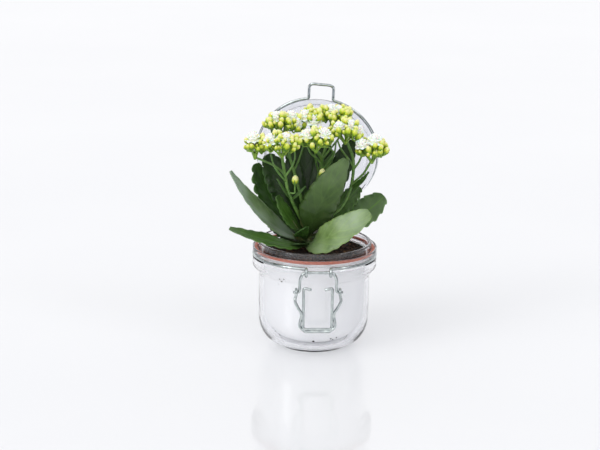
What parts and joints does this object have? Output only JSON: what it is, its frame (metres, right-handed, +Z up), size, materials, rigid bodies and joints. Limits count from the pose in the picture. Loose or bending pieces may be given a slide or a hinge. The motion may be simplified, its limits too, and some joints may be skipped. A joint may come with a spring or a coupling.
{
  "type": "potted kalanchoe in a clip-top jar",
  "caption": "Flowering kalanchoe with fleshy leaves and cream buds, planted in a short clip-top glass jar whose hinged glass lid stands open.",
  "frame": {"origin": "centre of the jar's flat base", "axes": "+Z up, -Y towards the latch, +Y towards the lid's hinge, +X to the right seen from the latch"},
  "size_m": [0.1266, 0.1397, 0.203],
  "materials": {
    "glass": "clear polished glass with a faint lavender grey edge",
    "gasket_rubber": "smooth orange-red sealing rubber",
    "wire_steel": "bright drawn steel wire",
    "liner_white": "thin matte white liner",
    "soil": "loose fibrous brown potting soil",
    "leaf_green": "fleshy dark green leaf with a waxy bluish sheen and a scalloped margin",
    "stalk_green": "smooth pale green succulent stalk",
    "flower_cream": "cream white petals with yellow-green buds"
  },
  "bodies": {
    "jar": {"bract_center": "leaf_green", "bract_left_inner": "leaf_green", "bract_left_low": "leaf_green", "bract_right_low": "leaf_green", "branch_far_left": "stalk_green", "branch_right": "stalk_green", "branch_top": "stalk_green", "bud_center": "flower_cream", "bud_left": "flower_cream", "flowers_back_left": "flower_cream", "flowers_back_right": "flower_cream", "flowers_center": "flower_cream", "flowers_far_left": "flower_cream", "flowers_left_front": "flower_cream", "flowers_right": "flower_cream", "flowers_right_center": "flower_cream", "flowers_top": "flower_cream", "glass_jar": "glass", "inner_pot": "liner_white", "leaf_back_center": "leaf_green", "leaf_back_left_inner": "leaf_green", "leaf_back_left_outer": "leaf_green", "leaf_back_right_tall": "leaf_green", "leaf_front_low": "leaf_green", "leaf_front_right": "leaf_green", "leaf_front_upright": "leaf_green", "leaf_inner_left": "leaf_green", "leaf_long_left": "leaf_green", "leaf_low_left": "leaf_green", "leaf_narrow_right": "leaf_green", "leaf_rear": "leaf_green", "leaf_rear_left": "leaf_green", "leaf_rear_right": "leaf_green", "leaf_right": "leaf_green", "leaf_right_inner": "leaf_green", "main_stem": "stalk_green", "neck_wire": "wire_steel", "potting_soil": "soil", "rubber_gasket": "gasket_rubber", "stalk_back_left": "stalk_green", "stalk_back_right": "stalk_green", "stalk_center": "stalk_green", "stalk_left": "stalk_green", "stalk_right": "stalk_green"},
    "lid": {"glass_lid": "glass", "lid_wire": "wire_steel"},
    "latch_link": {"latch_link": "wire_steel"},
    "latch_lever": {"latch_lever": "wire_steel"}
  },
  "joints": [
    {"name": "lid_hinge", "type": "hinge", "parent": "jar", "child": "lid", "pos_m": [0, 0.0637, 0.0741], "axis": [-1, 0, 0], "range_deg": [0, 105]},
    {"name": "link_pivot", "type": "hinge", "parent": "jar", "child": "latch_link", "pos_m": [0, -0.0532, 0.0729], "axis": [-1, 0, 0], "range_deg": [-4, 120]},
    {"name": "lever_pivot", "type": "hinge", "parent": "latch_link", "child": "latch_lever", "pos_m": [0, -0.0532, 0.0571], "axis": [-1, 0, 0], "range_deg": [-3, 90]}
  ]
}
